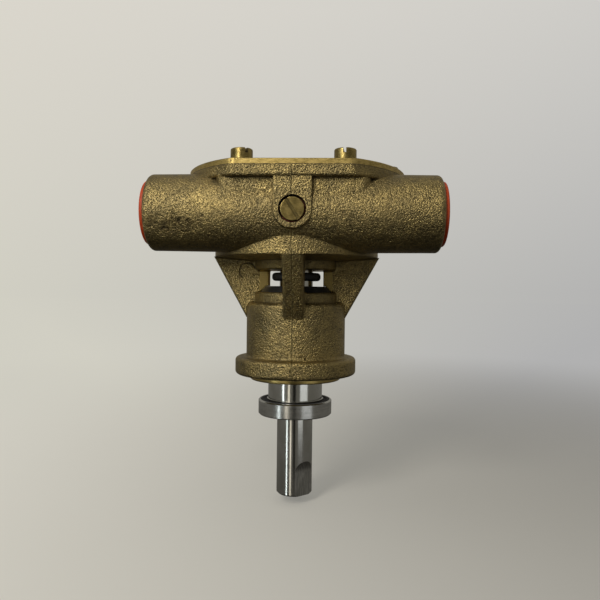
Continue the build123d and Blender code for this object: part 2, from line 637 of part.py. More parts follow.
def seal_seat_cup():
    inner = SEAL_POCKET_R - SEAL_CUP_WALL
    base = SEAL_POCKET_BASE
    return turned(
        (SEAL_SEAT_BORE_R, base),
        (SEAL_POCKET_R - SEAT_GAP, base),
        (SEAL_POCKET_R - SEAT_GAP, base + SEAL_CUP_HEIGHT),
        (inner, base + SEAL_CUP_HEIGHT),
        (inner, base + SEAL_CUP_BASE),
        (SEAL_SEAT_BORE_R, base + SEAL_CUP_BASE),
    )


def seal_seat():
    outer = SEAL_POCKET_R - SEAL_CUP_WALL - SEAT_GAP
    return ring(outer, SEAL_SEAT_BORE_R, SEAL_POCKET_BASE + SEAL_CUP_BASE, SEAT_TOP)


def seal_face():
    return ring(SEAL_FACE_R, SEAL_FACE_BORE_R, SEAT_TOP + SEAL_FACE_GAP, SEAL_FACE_TOP)


def seal_bellows():
    return ring(SEAL_FACE_R, NECK_R + SEAT_GAP, SEAL_FACE_TOP, BELLOWS_TOP)


def seal_spring():
    return ring(SEAL_FACE_R - SEAT_GAP, SEAL_FACE_R - SEAL_SPRING_WIDTH, BELLOWS_TOP, IMPELLER_BASE)


def seal_case():
    return ring(SEAL_CASE_R, SEAL_FACE_R + SEAT_GAP, IMPELLER_BASE - SEAL_CASE_SKIRT, IMPELLER_BASE)


def split_clip(outer, inner, low, high, gap_turn):
    """A spring clip: a ring with a gap facing -Y."""
    half = radians(gap_turn / 2)
    reach = 2 * outer
    wedge = make_face(Polyline((0, 0), (reach * sin(half), -reach), (-reach * sin(half), -reach), close=True))
    return ring(outer, inner, low, high) - Pos(0, 0, low - 1) * extrude(wedge, high - low + 2)


def bearing_circlip():
    """The circlip in the spigot's groove, with two eyed lugs beside its gap."""
    high = CIRCLIP_BASE + CIRCLIP_THICKNESS
    outer = BEARING_R + CIRCLIP_DEPTH - SEAT_GAP
    clip = split_clip(outer, outer - CIRCLIP_WIDTH, CIRCLIP_BASE, high, CIRCLIP_GAP_TURN)
    lug_place = outer - CIRCLIP_WIDTH - CIRCLIP_LUG_R / 2
    for side in (-1, 1):
        place = Rot(0, 0, side * (CIRCLIP_GAP_TURN / 2 + 5)) * Pos(0, -lug_place, 0)
        clip += place * post(CIRCLIP_LUG_R, CIRCLIP_BASE, high)
        clip -= place * post(CIRCLIP_LUG_R / 2, CIRCLIP_BASE - 1, high + 1)
    return Rot(0, 0, -CIRCLIP_TURN) * clip


def shaft_circlip():
    high = OUTER_BEARING_BASE - SEAT_GAP
    inner = SHAFT_R - SHAFT_CLIP_DEPTH + SEAT_GAP
    clip = split_clip(inner + SHAFT_CLIP_WIDTH, inner, high - SHAFT_CLIP_THICKNESS, high, SHAFT_CLIP_GAP_TURN)
    return Rot(0, 0, SHAFT_CLIP_TURN) * clip


def bearing_spacer():
    low = OUTER_BEARING_TOP + SHIM_THICKNESS
    relief = SHAFT_R + RING_SHOULDER
    sleeve = ring(SPACER_R, SHAFT_R + SEAT_GAP, low, INNER_BEARING_BASE - SPACER_RELIEF_LENGTH)
    return sleeve + ring(relief, SHAFT_R + SEAT_GAP, low, INNER_BEARING_BASE)


def spacer_shim():
    return ring(SHIM_R, SHAFT_R + SEAT_GAP, OUTER_BEARING_TOP, OUTER_BEARING_TOP + SHIM_THICKNESS)


# ---- port plugs
def port_plug():
    """The right port's push-in plug: a thin flange on a short hollow stem."""
    face = PORT_END + PLUG_FLANGE_THICKNESS
    flange = sideways(PLUG_FLANGE_R, PORT_END, face)
    flange = fillet(flange.edges().group_by(Axis.X)[-1], PLUG_FLANGE_ROUND)
    stem_r = PORT_LEAD_R - PLUG_STEM_GAP
    plug = flange + sideways(stem_r, PORT_END - PLUG_STEM_LENGTH, PORT_END)
    return plug - sideways(stem_r - PLUG_WALL, PORT_END - PLUG_STEM_LENGTH + PLUG_WALL, face + 1)


def write(name, solid):
    export_step(solid, f"parts/{name}.step")


def main():
    os.makedirs("parts", exist_ok=True)
    write("pump_body", pump_body())
    write("end_cover", end_cover())
    write("cover_gasket", cover_gasket())
    for number, place in enumerate(screw_places()):
        write(f"cover_screw_{number + 1}", cover_screw(place, SCREW_SLOT_TURNS[number]))
    write("cam", cam())
    write("cam_screw", cam_screw())
    write("cam_screw_washer", cam_screw_washer())
    write("wear_plate", wear_plate())
    write("wear_plate_pin", wear_plate_pin())
    write("impeller", impeller())
    write("impeller_insert", impeller_insert())
    write("impeller_key", impeller_key())
    write("shaft", shaft())
    for name, base, width in (
        ("inner_bearing", INNER_BEARING_BASE, INNER_BEARING_WIDTH),
        ("outer_bearing", OUTER_BEARING_BASE, OUTER_BEARING_WIDTH),
    ):
        write(f"{name}_outer_ring", outer_ring(base, width))
        write(f"{name}_inner_ring", inner_ring(base, width))
        write(f"{name}_balls", balls(base, width))
        write(f"{name}_cage", cage(base, width))
        write(f"{name}_upper_seal", bearing_seal(base, width, True))
        write(f"{name}_lower_seal", bearing_seal(base, width, False))
    write("slinger", slinger())
    write("oil_seal", oil_seal())
    write("seal_seat_cup", seal_seat_cup())
    write("seal_seat", seal_seat())
    write("seal_face", seal_face())
    write("seal_bellows", seal_bellows())
    write("seal_spring", seal_spring())
    write("seal_case", seal_case())
    write("bearing_circlip", bearing_circlip())
    write("shaft_circlip", shaft_circlip())
    write("bearing_spacer", bearing_spacer())
    write("spacer_shim", spacer_shim())
    write("port_plug_right", port_plug())
    write("port_plug_left", mirror(port_plug(), Plane.YZ))


main()
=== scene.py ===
"""Looks of a spigot-mounted flexible-impeller seawater pump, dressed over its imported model.

+Z runs along the shaft towards the end cover, -Y is the cam-screw side and +X is the right port.
Metres throughout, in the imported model's own frame.
"""
import json
import math

import bpy
from mathutils import Matrix, Vector


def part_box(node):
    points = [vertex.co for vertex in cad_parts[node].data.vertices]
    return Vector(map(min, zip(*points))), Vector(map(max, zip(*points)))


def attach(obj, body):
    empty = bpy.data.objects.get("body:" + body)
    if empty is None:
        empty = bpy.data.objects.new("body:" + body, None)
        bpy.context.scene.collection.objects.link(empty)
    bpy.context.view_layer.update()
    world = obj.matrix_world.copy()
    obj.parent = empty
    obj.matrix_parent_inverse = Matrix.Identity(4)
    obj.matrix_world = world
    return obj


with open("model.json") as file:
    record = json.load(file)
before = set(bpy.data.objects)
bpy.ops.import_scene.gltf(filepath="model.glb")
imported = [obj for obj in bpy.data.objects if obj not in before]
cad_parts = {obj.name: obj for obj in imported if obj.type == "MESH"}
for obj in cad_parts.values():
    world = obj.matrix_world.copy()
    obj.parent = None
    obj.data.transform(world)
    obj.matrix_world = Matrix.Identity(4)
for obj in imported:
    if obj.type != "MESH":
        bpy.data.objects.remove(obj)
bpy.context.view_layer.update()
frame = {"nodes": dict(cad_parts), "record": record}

MM = 0.001

# ---- where things are on the casting
PORT_AXIS_Y = -25.0 * MM
PORT_AXIS_Z = 73.1 * MM
PORT_THREAD_START = 42.0 * MM
PORT_THREAD_LENGTH = 17.0 * MM
PORT_THREAD_R = 12.06 * MM
PORT_BORE_R = 13.6 * MM
THREAD_PITCH = 1.814 * MM
THREAD_HEIGHT = 1.1 * MM
THREAD_HALF_SHARE = 0.42
THREAD_SINK = 0.15 * MM
THREAD_MERGE = 0.001 * MM
HELIX_STEPS = 64
SPIGOT_TOP = -0.3 * MM
HOUSING_BORE_R = 17.8 * MM
CHAMBER_BORE_R = 32.8 * MM
CHAMBER_FLOOR = 59.0 * MM
COVER_FACE = 90.9 * MM
SEAL_EDGE_R = 16.5 * MM
SEAL_EDGE_BLUR = 0.05 * MM
FLAT_INNER_R = 8.34 * MM
FLAT_OUTER_R = 8.44 * MM
FLAT_TOP = -30.0 * MM
COVER_EDGE_START = 0.25 * MM
COVER_EDGE_END = 0.45 * MM

# ---- marks on the casting, with places as (x, z) on its front
EDGE_ROUND = 0.9 * MM
CREVICE_REACH = 5 * MM
SEAM_X = -0.6 * MM
SEAM_SHADE_X = -0.2 * MM
SEAM_WANDER = 0.9 * MM
SCAB_PLACE = (-50.5 * MM, 67.0 * MM)
SCAB_REACH = (15.0 * MM, 6.5 * MM)
RING_PLACE = (-23.0 * MM, 48.6 * MM)
RING_R = 3.8 * MM
HOUSING_STAIN_PLACE = (-13.0 * MM, 23.5 * MM)
HOUSING_STAIN_REACH = (4.5 * MM, 7.5 * MM)
TUBE_STAIN_PLACE = (51.5 * MM, 85.0 * MM)
TUBE_STAIN_REACH = (5.0 * MM, 2.6 * MM)

# ---- how fine the casting's patterns are, per metre, and how deep
BROAD_PATCHES = 38.0
MOTTLE_PATCHES = 260.0
GRAIN_PATCHES = 1100.0
SAND_CELLS = 1500.0
PIT_CELLS = 175.0
CAST_RELIEF = 0.30 * MM
LINE_RELIEF = 0.3 * MM
TURNED_RELIEF = 0.012 * MM

# ---- shared colours, linear
OLIVE_GOLD = (0.40, 0.305, 0.125, 1)
DULL_OLIVE = (0.235, 0.185, 0.085, 1)
# Dark grime of the sand grain, pits and marks; also the colour of the painted shade in the
# casting's crevices
SAND_GRIME_AND_SHADE = (0.075, 0.06, 0.035, 1)
BRIGHT_BRASS = (0.62, 0.47, 0.17, 1)
TARNISHED_BRASS = (0.36, 0.27, 0.095, 1)
CLEAN_STEEL = (0.66, 0.65, 0.61, 1)
GREY_STEEL = (0.36, 0.355, 0.33, 1)
WORN_RING_STEEL = (0.43, 0.425, 0.40, 1)
WORN_SHAFT_STEEL = (0.56, 0.55, 0.50, 1)
SPRING_BLACK = (0.11, 0.11, 0.115, 1)
SPRING_DARKEST = (0.05, 0.05, 0.05, 1)
FRESH_SEAM = (0.52, 0.41, 0.18, 1)
DARK_STAIN = (0.07, 0.075, 0.055, 1)
SHEARED_LOW = (0.34, 0.25, 0.08, 1)
SHEARED_HIGH = (0.56, 0.42, 0.15, 1)
SCREW_LOW = (0.17, 0.128, 0.043, 1)
SCREW_HIGH = (0.40, 0.305, 0.11, 1)
# Colour of the painted shade in the screw slots
SCREW_SLOT_SHADE = (0.06, 0.05, 0.025, 1)
SEAL_RUBBER = (0.016, 0.016, 0.017, 1)
RUBBER = (0.012, 0.012, 0.013, 1)
RUBBER_BLOOM = (0.035, 0.034, 0.033, 1)
RUBBER_DUST = (0.10, 0.09, 0.075, 1)
PLUG_RED = (0.42, 0.047, 0.010, 1)
PLUG_ORANGE = (0.54, 0.075, 0.017, 1)
PLUG_SCUFF = (0.75, 0.24, 0.12, 1)
OILED_PAPER = (0.028, 0.022, 0.014, 1)
PAPER_FIBRE = (0.085, 0.065, 0.04, 1)
WASHER_DARK = (0.16, 0.03, 0.02, 1)
WASHER_RED = (0.34, 0.075, 0.05, 1)
CERAMIC = ((0.72, 0.71, 0.66, 1), (0.84, 0.83, 0.79, 1))
CARBON = ((0.02, 0.02, 0.02, 1), (0.045, 0.045, 0.045, 1))

# ---- sockets of a colour Mix node
MIX_SHARE = 0
MIX_FIRST = 6
MIX_SECOND = 7
MIX_RESULT = 2


# ---- shader sums

class Level:
    """A value that changes over a surface. A sum written with it adds the Math nodes that do it."""

    def __init__(self, finish, socket):
        self.finish = finish
        self.socket = socket

    def work(self, operation, *values):
        """A Math node of any operation."""
        return self.finish.add("ShaderNodeMath", {"operation": operation}, values)

    def __add__(self, other):
        return self.work("ADD", self, other)

    def __sub__(self, other):
        return self.work("SUBTRACT", self, other)

    def __rsub__(self, other):
        return self.work("SUBTRACT", other, self)

    def __mul__(self, other):
        return self.work("MULTIPLY", self, other)

    def __truediv__(self, other):
        return self.work("DIVIDE", self, other)

    def __pow__(self, other):
        return self.work("POWER", self, other)

    def __abs__(self):
        return self.work("ABSOLUTE", self)

    def __lt__(self, other):
        return self.work("LESS_THAN", self, other)

    def __gt__(self, other):
        return self.work("GREATER_THAN", self, other)

    __radd__ = __add__


class Finish:
    """One finish: its material, its surface shader and the nodes that vary it."""

    def __init__(self, name, constants):
        self.material = bpy.data.materials.new(name)
        self.material.use_nodes = True
        self.tree = self.material.node_tree
        self.tree.nodes.clear()
        self.surface = self.tree.nodes.new("ShaderNodeBsdfPrincipled")
        output = self.tree.nodes.new("ShaderNodeOutputMaterial")
        self.tree.links.new(self.surface.outputs["BSDF"], output.inputs["Surface"])
        for socket, value in constants.items():
            self.surface.inputs[socket].default_value = value
        self.point = self.add("ShaderNodeTexCoord", {}, (), "Object")
        self.x, self.y, self.z = self.parts(self.point)

    def add(self, kind, settings, values, output=0):
        """A node of any kind: its settings first, then the values or links of its sockets."""
        node = self.tree.nodes.new(kind)
        for name, value in settings.items():
            setattr(node, name, value)
        pairs = values.items() if isinstance(values, dict) else enumerate(values)
        for socket, value in pairs:
            if isinstance(value, Level):
                self.tree.links.new(value.socket, node.inputs[socket])
            else:
                node.inputs[socket].default_value = value
        return Level(self, node.outputs[output])

    def parts(self, vector):
        """The three parts of a vector."""
        split = self.add("ShaderNodeSeparateXYZ", {}, {"Vector": vector}).socket.node
        return [Level(self, output) for output in split.outputs]

    def noise(self, scale, detail=2.0, rough=0.5, point=None):
        """Smooth noise, with features about 1 / scale metres across."""
        values = {
            "Vector": point or self.point,
            "Scale": scale,
            "Detail": detail,
            "Roughness": rough,
        }
        return self.add("ShaderNodeTexNoise", {}, values, "Fac")

    def cells(self, scale):
        """Distance to the nearest of many scattered points, about 1 / scale metres apart."""
        values = {"Vector": self.point, "Scale": scale}
        return self.add("ShaderNodeTexVoronoi", {"feature": "F1"}, values, "Distance")

    def step(self, value, low, high):
        """0 below low, 1 above high, smooth between; low above high turns it round."""
        values = {"Value": value, "From Min": low, "From Max": high}
        return self.add("ShaderNodeMapRange", {"interpolation_type": "SMOOTHSTEP"}, values)

    def stretched(self, scale):
        """The point with each of its parts multiplied, for grain that runs one way."""
        return self.add("ShaderNodeVectorMath", {"operation": "MULTIPLY"}, (self.point, scale))

    def colour(self, share, first, second):
        """From the first colour to the second as share goes from 0 to 1."""
        values = {MIX_SHARE: share, MIX_FIRST: first, MIX_SECOND: second}
        return self.add("ShaderNodeMix", {"data_type": "RGBA"}, values, MIX_RESULT)

    def dent(self, height, distance, normal=None):
        """Relief of that height, over the relief that normal already gives."""
        values = {"Height": height, "Distance": distance}
        if normal:
            values["Normal"] = normal
        return self.add("ShaderNodeBump", {}, values, "Normal")

    def feed(self, socket, level):
        """Drives one socket of the surface shader."""
        self.tree.links.new(level.socket, self.surface.inputs[socket])

    def from_z_axis(self):
        """Distance from the shaft's axis."""
        return (self.x * self.x + self.y * self.y) ** 0.5

    def from_spot(self, place, reach):
        """1 at a spot on the front of the casting, falling to 0 a reach away."""
        across = (self.x - place[0]) * (1 / reach[0])
        up = (self.z - place[1]) * (1 / reach[1])
        away = (across * across + up * up) ** 0.5
        return self.step(away, 1.0, 0.25) * (self.y < 0.0)

    def from_ring(self, place, radius):
        """1 on an open ring with a tail, scratched on the front of the casting, 0 elsewhere."""
        wander = (self.noise(240.0, 2.0) - 0.5) * (2.4 * MM)
        across = self.x - place[0]
        up = self.z - place[1]
        away = abs((across * across + up * up) ** 0.5 - radius + wander)
        open_side = self.step(across * 0.8 - up, 2.6 * MM, 1.2 * MM)
        past_tail = self.step(abs(across - 4.6 * MM), 2.2 * MM, 2.4 * MM)
        tail = abs(up + 1.9 * MM + wander) + past_tail * MM
        line = self.step(away, 0.42 * MM, 0.12 * MM) * open_side
        line = line.work("MAXIMUM", line, self.step(tail, 0.34 * MM, 0.1 * MM))
        return line * (self.y < 0.0)


# ---- finishes

def cast_bronze():
    """Sand-cast bronze: olive gold, grainy and pitted, with its machined faces bright and painted
    shade darkening its crevices.
    """
    finish = Finish("cast_bronze", {"Metallic": 1.0, "Specular IOR Level": 0.5})
    soft_edges = finish.add("ShaderNodeBevel", {"samples": 4}, {"Radius": EDGE_ROUND})
    # Ambient occlusion, read below for painted shade in crevices, corners and recesses
    crevices = finish.add(
        "ShaderNodeAmbientOcclusion", {"samples": 6}, {"Distance": CREVICE_REACH}, "AO"
    )
    from_axis = finish.from_z_axis()
    port_y = finish.y - PORT_AXIS_Y
    port_z = finish.z - PORT_AXIS_Z
    from_port_axis = (port_y * port_y + port_z * port_z) ** 0.5

    machined = finish.z < SPIGOT_TOP
    machined = machined.work("MAXIMUM", machined, finish.z > COVER_FACE)
    machined = machined.work("MAXIMUM", machined, from_axis < HOUSING_BORE_R)
    chamber = (from_axis < CHAMBER_BORE_R) * (finish.z > CHAMBER_FLOOR)
    machined = machined.work("MAXIMUM", machined, chamber)
    machined = machined.work("MAXIMUM", machined, from_port_axis < PORT_BORE_R)
    rough_cast = 1.0 - machined

    broad = finish.noise(BROAD_PATCHES, 3.0, 0.6)
    mottle = finish.noise(MOTTLE_PATCHES, 4.0, 0.65)
    grain = finish.noise(GRAIN_PATCHES, 2.0, 0.62)
    sand = finish.cells(SAND_CELLS)
    pits = finish.step(finish.cells(PIT_CELLS), 0.13, 0.05) * finish.step(broad, 0.42, 0.62)

    wander = (finish.noise(160.0, 2.0) - 0.5) * SEAM_WANDER
    from_seam = abs(finish.x - SEAM_X + wander)
    seam = finish.step(from_seam, 0.34 * MM, 0.08 * MM) * rough_cast
    from_shade = abs(finish.x - SEAM_SHADE_X + wander)
    seam_shade = finish.step(from_shade, 0.5 * MM, 0.1 * MM) * rough_cast

    scab = finish.from_spot(SCAB_PLACE, SCAB_REACH)
    scab = scab * finish.step(finish.noise(150.0, 4.0, 0.7), 0.40, 0.56)
    scab_pits = finish.step(finish.noise(380.0, 4.0, 0.75), 0.53, 0.44)
    swirl = finish.from_ring(RING_PLACE, RING_R) * rough_cast
    stain = finish.from_spot(HOUSING_STAIN_PLACE, HOUSING_STAIN_REACH) * 0.55
    stain = stain + finish.from_spot(TUBE_STAIN_PLACE, TUBE_STAIN_REACH) * 0.6
    stain = stain * finish.step(finish.noise(300.0, 3.0), 0.35, 0.65)

    tone = finish.step(broad * 0.55 + mottle * 0.45, 0.36, 0.62)
    cast = finish.colour(tone, DULL_OLIVE, OLIVE_GOLD)
    cast = finish.colour(finish.step(grain, 0.52, 0.28) * 0.6, cast, SAND_GRIME_AND_SHADE)
    cast = finish.colour(pits * 0.9, cast, SAND_GRIME_AND_SHADE)
    cast = finish.colour(seam * 0.5, cast, FRESH_SEAM)
    cast = finish.colour(swirl * 0.75, cast, SAND_GRIME_AND_SHADE)
    cast = finish.colour(scab * scab_pits * 0.85, cast, SAND_GRIME_AND_SHADE)
    cast = finish.colour(stain * 0.75, cast, DARK_STAIN)
    # Painted shade: darkens the colour where nearby surfaces enclose the casting, and makes those
    # places rougher
    painted_crevice_shade = finish.step(crevices, 0.80, 0.35)
    cast = finish.colour(painted_crevice_shade * 0.8, cast, SAND_GRIME_AND_SHADE)

    turned_rings = finish.noise(1.0, 2.0, point=finish.stretched((0, 0, 5200.0)))
    cut = finish.colour(finish.step(turned_rings, 0.35, 0.65), TARNISHED_BRASS, BRIGHT_BRASS)
    finish.feed("Base Color", finish.colour(machined, cast, cut))

    cast_rough = 0.35 + finish.step(grain, 0.35, 0.65) * 0.12 + painted_crevice_shade * 0.2 + scab * 0.08
    cut_rough = 0.22 + turned_rings * 0.16
    finish.feed("Roughness", cast_rough * rough_cast + cut_rough * machined)

    relief = grain * 1.4 + finish.step(sand, 0.05, 0.6) * 0.5 + mottle * 1.3
    relief = relief - pits * 2.0 - scab * scab_pits * 4.5
    relief = relief * rough_cast
    lines = seam - seam_shade * 0.5 - swirl
    normal = finish.dent(relief, CAST_RELIEF, soft_edges)
    normal = finish.dent(lines, LINE_RELIEF, normal)
    finish.feed("Normal", finish.dent(turned_rings * machined, TURNED_RELIEF, normal))
    return finish.material


def brushed(name, clean, dull, rough, grain_scale, relief):
    """Cut or ground metal whose fine marks run round or across it."""
    finish = Finish(name, {"Metallic": 1.0})
    marks = finish.noise(1.0, 3.0, 0.6, finish.stretched(grain_scale))
    smears = finish.noise(95.0, 3.0, 0.6)
    spots = finish.step(finish.cells(330.0), 0.12, 0.05) * finish.step(smears, 0.45, 0.6)
    tone = finish.step(marks * 0.5 + smears * 0.5, 0.34, 0.64)
    colour = finish.colour(tone, dull, clean)
    finish.feed("Base Color", finish.colour(spots * 0.5, colour, SAND_GRIME_AND_SHADE))
    finish.feed("Roughness", rough[0] + marks * (rough[1] - rough[0]) + spots * 0.2)
    finish.feed("Normal", finish.dent(marks + spots * -0.4, relief))
    return finish.material


def sheet_brass():
    """Cover plate: dull rolled face, scratched, with a sheared golden edge."""
    finish = Finish("sheet_brass", {"Metallic": 1.0})
    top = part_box("end_cover")[1].z
    edge = finish.step(finish.z, top - COVER_EDGE_START, top - COVER_EDGE_END)
    scratches = finish.noise(1.0, 3.0, 0.7, finish.stretched((90.0, 2600.0, 300.0)))
    cross = finish.noise(1.0, 3.0, 0.7, finish.stretched((2100.0, 130.0, 300.0)))
    smears = finish.noise(48.0, 4.0, 0.62)
    shear = finish.noise(1.0, 4.0, 0.75, finish.stretched((420.0, 420.0, 900.0)))
    dots = finish.step(finish.cells(240.0), 0.13, 0.06)
    face = finish.colour(finish.step(smears, 0.34, 0.66), TARNISHED_BRASS, BRIGHT_BRASS)
    rim = finish.colour(finish.step(shear, 0.36, 0.6), SHEARED_LOW, SHEARED_HIGH)
    colour = finish.colour(edge, face, rim)
    colour = finish.colour(dots * 0.55, colour, SAND_GRIME_AND_SHADE)
    finish.feed("Base Color", colour)
    finish.feed("Roughness", 0.26 + smears * 0.22 + edge * 0.08 + dots * 0.2)
    marks = scratches * 0.5 + cross * 0.35 + shear * edge * 2.5
    finish.feed("Normal", finish.dent(marks, 0.03 * MM))
    return finish.material


def turned_brass():
    """Slotted screws: turned brass, bright on the heads, with painted shade darkening the slots."""
    finish = Finish("turned_brass", {"Metallic": 1.0})
    crevices = finish.add(
        "ShaderNodeAmbientOcclusion", {"samples": 4}, {"Distance": 1.6 * MM}, "AO"
    )
    marks = finish.noise(1.0, 3.0, 0.7, finish.stretched((700.0, 2400.0, 3000.0)))
    smears = finish.noise(420.0, 3.0, 0.6)
    tone = finish.step(smears * 0.6 + marks * 0.4, 0.34, 0.62)
    colour = finish.colour(tone, SCREW_LOW, SCREW_HIGH)
    # Painted shade: darkens the slots and the corners round the heads, from ambient occlusion
    painted_crevice_shade = finish.step(crevices, 0.80, 0.40)
    finish.feed("Base Color", finish.colour(painted_crevice_shade * 0.85, colour, SCREW_SLOT_SHADE))
    finish.feed("Roughness", 0.24 + marks * 0.2 + painted_crevice_shade * 0.25)
    finish.feed("Normal", finish.dent(marks + smears * 0.6, 0.025 * MM))
    return finish.material


def ground_shaft():
    """Stainless shaft: ground bright, with fine rings, and milled flats that look duller."""
    finish = Finish("ground_shaft", {"Metallic": 1.0})
    rings = finish.noise(1.0, 3.0, 0.6, finish.stretched((60.0, 60.0, 4200.0)))
    smears = finish.noise(1.0, 3.0, 0.6, finish.stretched((90.0, 90.0, 45.0)))
    inside = finish.step(finish.from_z_axis(), FLAT_OUTER_R, FLAT_INNER_R)
    inside = inside * (finish.z < FLAT_TOP)
    milled = finish.noise(1.0, 2.0, 0.6, finish.stretched((1900.0, 1900.0, 220.0)))
    colour = finish.colour(finish.step(smears, 0.36, 0.62), WORN_SHAFT_STEEL, CLEAN_STEEL)
    colour = finish.colour(inside * finish.step(milled, 0.3, 0.7), colour, GREY_STEEL)
    finish.feed("Base Color", colour)
    finish.feed("Roughness", 0.10 + rings * 0.1 + inside * 0.2)
    marks = rings * (1.0 - inside) + milled * inside * 2.0
    finish.feed("Normal", finish.dent(marks, 0.006 * MM))
    return finish.material


def sealed_ring():
    """The outer bearing's outer ring: ground steel, with its seal's rubber over the inside."""
    finish = Finish("sealed_bearing_ring", {})
    marks = finish.noise(1.0, 3.0, 0.6, finish.stretched((70.0, 70.0, 3600.0)))
    smears = finish.noise(95.0, 3.0, 0.6)
    outside = SEAL_EDGE_R + SEAL_EDGE_BLUR
    within = SEAL_EDGE_R - SEAL_EDGE_BLUR
    rubber = finish.step(finish.from_z_axis(), outside, within)
    tone = finish.step(marks * 0.5 + smears * 0.5, 0.34, 0.64)
    steel = finish.colour(tone, WORN_RING_STEEL, CLEAN_STEEL)
    finish.feed("Base Color", finish.colour(rubber, steel, SEAL_RUBBER))
    finish.feed("Metallic", 1.0 - rubber)
    finish.feed("Roughness", 0.16 + marks * 0.14 + rubber * 0.35)
    finish.feed("Normal", finish.dent(marks, 0.006 * MM))
    return finish.material


def black_rubber():
    """Moulded nitrile rubber: near black, with a faint bloom and mould grain."""
    finish = Finish("black_rubber", {"Specular IOR Level": 0.45})
    bloom = finish.noise(130.0, 4.0, 0.6)
    grain = finish.noise(2200.0, 2.0, 0.6)
    dust = finish.step(finish.cells(900.0), 0.16, 0.06)
    colour = finish.colour(finish.step(bloom, 0.45, 0.75), RUBBER, RUBBER_BLOOM)
    finish.feed("Base Color", finish.colour(dust * 0.4, colour, RUBBER_DUST))
    finish.feed("Roughness", 0.48 + bloom * 0.22)
    finish.feed("Normal", finish.dent(grain + bloom, 0.03 * MM))
    return finish.material


def red_plastic():
    """Port plugs: soft moulded polythene in orange red, lightly scuffed."""
    constants = {
        "Subsurface Weight": 0.12,
        "Subsurface Scale": 1.5 * MM,
        "Subsurface Radius": (1.0, 0.25, 0.1),
        "Specular IOR Level": 0.3,
    }
    finish = Finish("red_plastic", constants)
    cloud = finish.noise(85.0, 3.0, 0.55)
    scuffs = finish.noise(1.0, 4.0, 0.7, finish.stretched((420.0, 1500.0, 150.0)))
    rings = finish.noise(1.0, 2.0, 0.5, finish.stretched((2600.0, 30.0, 30.0)))
    colour = finish.colour(finish.step(cloud, 0.3, 0.7), PLUG_RED, PLUG_ORANGE)
    worn = finish.step(scuffs, 0.62, 0.75) * 0.25
    finish.feed("Base Color", finish.colour(worn, colour, PLUG_SCUFF))
    finish.feed("Roughness", 0.40 + scuffs * 0.2)
    finish.feed("Normal", finish.dent(cloud * 1.5 + rings * 0.5 + scuffs * 0.5, 0.04 * MM))
    return finish.material


def gasket_paper():
    """Oiled gasket paper, dark and fibrous."""
    finish = Finish("gasket_paper", {"Specular IOR Level": 0.3})
    fibres = finish.noise(1.0, 4.0, 0.7, finish.stretched((1400.0, 1400.0, 500.0)))
    colour = finish.colour(finish.step(fibres, 0.3, 0.7), OILED_PAPER, PAPER_FIBRE)
    finish.feed("Base Color", colour)
    finish.feed("Roughness", 0.6 + fibres * 0.3)
    finish.feed("Normal", finish.dent(fibres, 0.05 * MM))
    return finish.material


def red_fibre():
    """Vulcanised fibre washer, dark red."""
    finish = Finish("red_fibre", {"Specular IOR Level": 0.4})
    fibres = finish.noise(900.0, 4.0, 0.7)
    colour = finish.colour(finish.step(fibres, 0.3, 0.7), WASHER_DARK, WASHER_RED)
    finish.feed("Base Color", colour)
    finish.feed("Roughness", 0.55 + fibres * 0.25)
    finish.feed("Normal", finish.dent(fibres, 0.04 * MM))
    return finish.material


def lapped(name, tones, rough):
    """A seal ring's lapped face, ceramic or carbon."""
    finish = Finish(name, {"Specular IOR Level": 0.5})
    cloud = finish.noise(500.0, 3.0, 0.6)
    rings = finish.noise(6000.0, 2.0, 0.5)
    finish.feed("Base Color", finish.colour(finish.step(cloud, 0.3, 0.7), *tones))
    finish.feed("Roughness", rough + cloud * 0.15)
    finish.feed("Normal", finish.dent(rings, 0.004 * MM))
    return finish.material


def dress_nodes():
    """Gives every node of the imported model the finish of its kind."""
    bearing = brushed(
        name="ground_bearing_ring",
        clean=CLEAN_STEEL,
        dull=WORN_RING_STEEL,
        rough=(0.16, 0.30),
        grain_scale=(70.0, 70.0, 3600.0),
        relief=0.006 * MM,
    )
    spring = brushed(
        name="blackened_spring_steel",
        clean=SPRING_BLACK,
        dull=SPRING_DARKEST,
        rough=(0.32, 0.5),
        grain_scale=(500.0, 500.0, 500.0),
        relief=0.02 * MM,
    )
    bronze = brushed(
        name="machined_bronze",
        clean=BRIGHT_BRASS,
        dull=TARNISHED_BRASS,
        rough=(0.24, 0.42),
        grain_scale=(300.0, 300.0, 3000.0),
        relief=0.015 * MM,
    )
    by_slot = {
        "cast_bronze": cast_bronze(),
        "machined_bronze": bronze,
        "brass_screw": turned_brass(),
        "stainless_steel": ground_shaft(),
        "bearing_steel": bearing,
        "spring_steel": spring,
        "black_rubber": black_rubber(),
        "red_plastic": red_plastic(),
        "gasket_paper": gasket_paper(),
        "fibre": red_fibre(),
        "seal_ceramic": lapped("seal_ceramic", CERAMIC, 0.12),
        "seal_carbon": lapped("seal_carbon", CARBON, 0.25),
    }
    by_node = {"end_cover": sheet_brass(), "outer_bearing_outer_ring": sealed_ring()}
    for part in frame["record"]["subparts"]:
        node = part["node"]
        paint(frame["nodes"][node], by_node.get(node, by_slot[part["material_slot"]]))
    return by_slot


def paint(piece, material):
    """Leaves the piece with this material alone."""
    piece.data.materials.clear()
    piece.data.materials.append(material)


